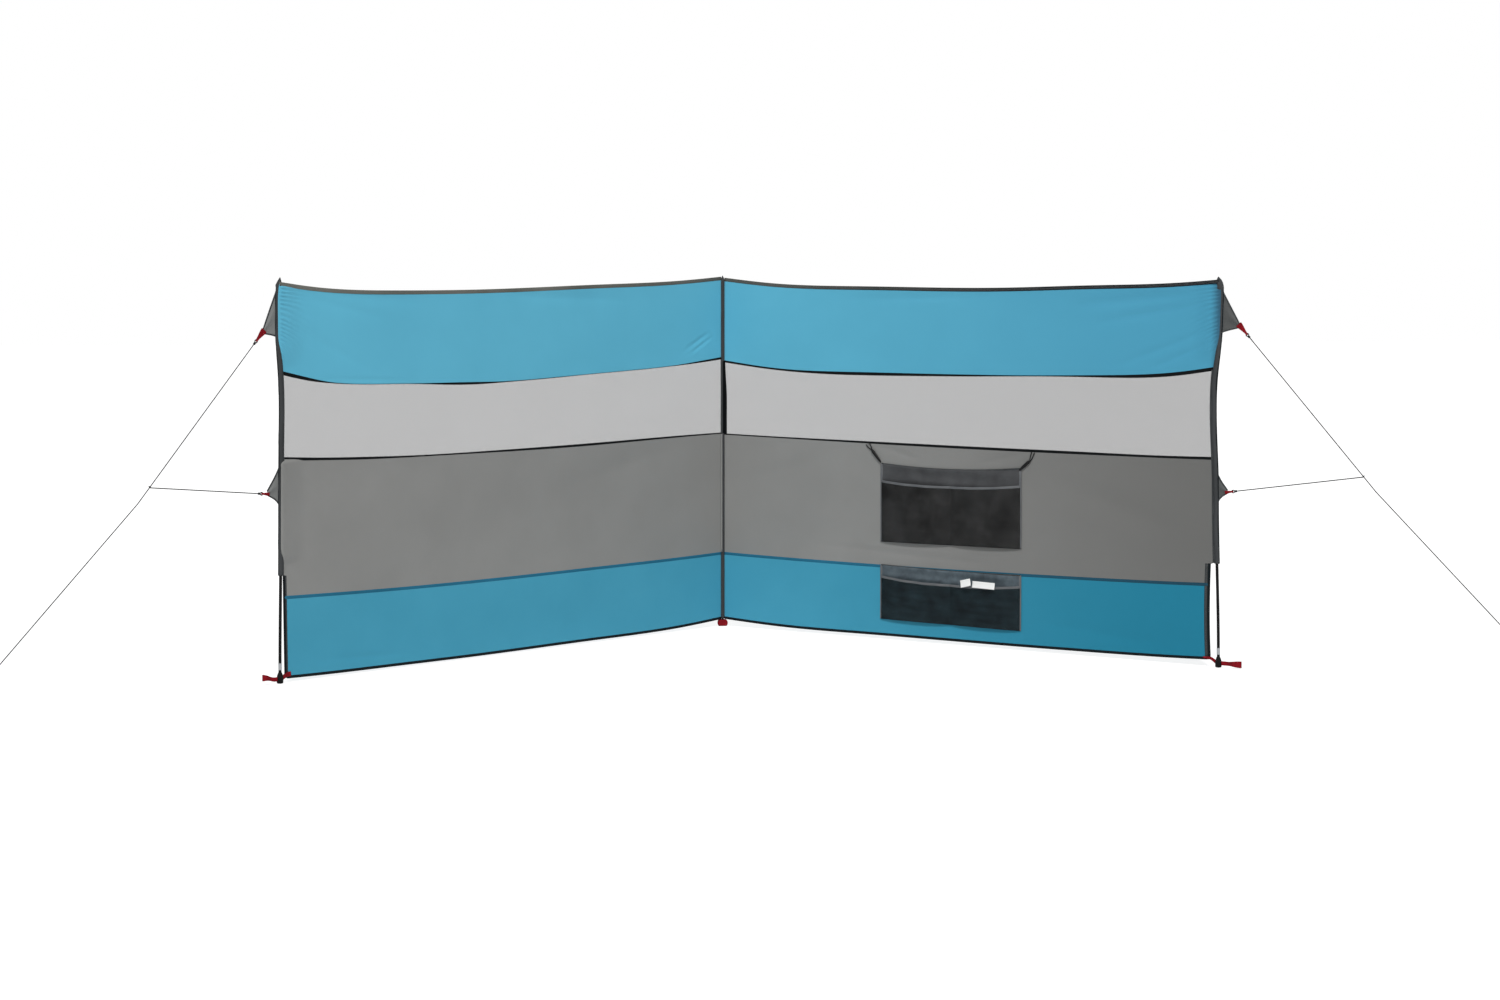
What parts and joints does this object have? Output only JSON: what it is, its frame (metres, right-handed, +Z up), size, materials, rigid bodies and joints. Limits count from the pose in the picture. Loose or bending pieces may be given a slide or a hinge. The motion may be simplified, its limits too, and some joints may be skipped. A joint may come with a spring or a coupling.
{
  "type": "beach windbreak",
  "caption": "Beach windbreak with cloth wings on fibreglass poles, a clear window band, mesh pockets and guy lines that hold its end poles.",
  "frame": {"origin": "on the ground, on the axis of the middle pole, at the bottom face of its webbing sling", "axes": "+Z up along the middle pole; the wings open towards -Y, the sheltered side; +X to the side of the wing with the pockets"},
  "size_m": [5.6656, 2.1834, 1.5],
  "materials": {
    "blue_cloth": "satin",
    "skirt_cloth": "satin",
    "window_film": "frosted",
    "grey_cloth": "satin",
    "edge_tape": "matte",
    "seam_tape": "matte",
    "binding_tape": "matte",
    "sleeve_cloth": "matte",
    "flap_cloth": "matte",
    "red_webbing": "matte",
    "fibreglass": "satin",
    "ferrule_metal": "brushed",
    "cap_rubber": "matte",
    "guy_cord": "matte",
    "peg_steel": "brushed",
    "pocket_mesh": "matte",
    "clip_plastic": "satin",
    "tag_cloth": "matte"
  },
  "bodies": {
    "left_wing": {"edge_binding_left": "binding_tape", "ferrule_left": "ferrule_metal", "flap_loops_left": "red_webbing", "foot_cap_left": "cap_rubber", "foot_cap_middle": "cap_rubber", "foot_sling": "red_webbing", "foot_strap_left": "red_webbing", "guy_line_left": "guy_cord", "lower_flap_left": "flap_cloth", "middle_band_left": "grey_cloth", "peg_left": "peg_steel", "pole_left": "fibreglass", "pole_middle": "fibreglass", "seam_tapes_left": "seam_tape", "skirt_band_left": "skirt_cloth", "sleeve_left": "sleeve_cloth", "sleeve_middle": "sleeve_cloth", "top_band_left": "blue_cloth", "top_tape_left": "edge_tape", "upper_flap_left": "flap_cloth", "window_left": "window_film"},
    "right_wing": {"edge_binding_right": "binding_tape", "ferrule_right": "ferrule_metal", "flap_loops_right": "red_webbing", "foot_cap_right": "cap_rubber", "foot_strap_right": "red_webbing", "guy_line_right": "guy_cord", "lower_flap_right": "flap_cloth", "lower_pocket": "pocket_mesh", "middle_band_right": "grey_cloth", "peg_right": "peg_steel", "pocket_straps": "clip_plastic", "pocket_tags": "tag_cloth", "pole_right": "fibreglass", "seam_tapes_right": "seam_tape", "skirt_band_right": "skirt_cloth", "sleeve_right": "sleeve_cloth", "top_band_right": "blue_cloth", "top_tape_right": "edge_tape", "upper_flap_right": "flap_cloth", "upper_pocket": "pocket_mesh", "window_right": "window_film"}
  },
  "joints": [
    {"name": "wing_fold", "type": "hinge", "parent": "left_wing", "child": "right_wing", "pos_m": [0, 0, 0], "axis": [0, 0, 1], "range_deg": [-75, 225]}
  ]
}
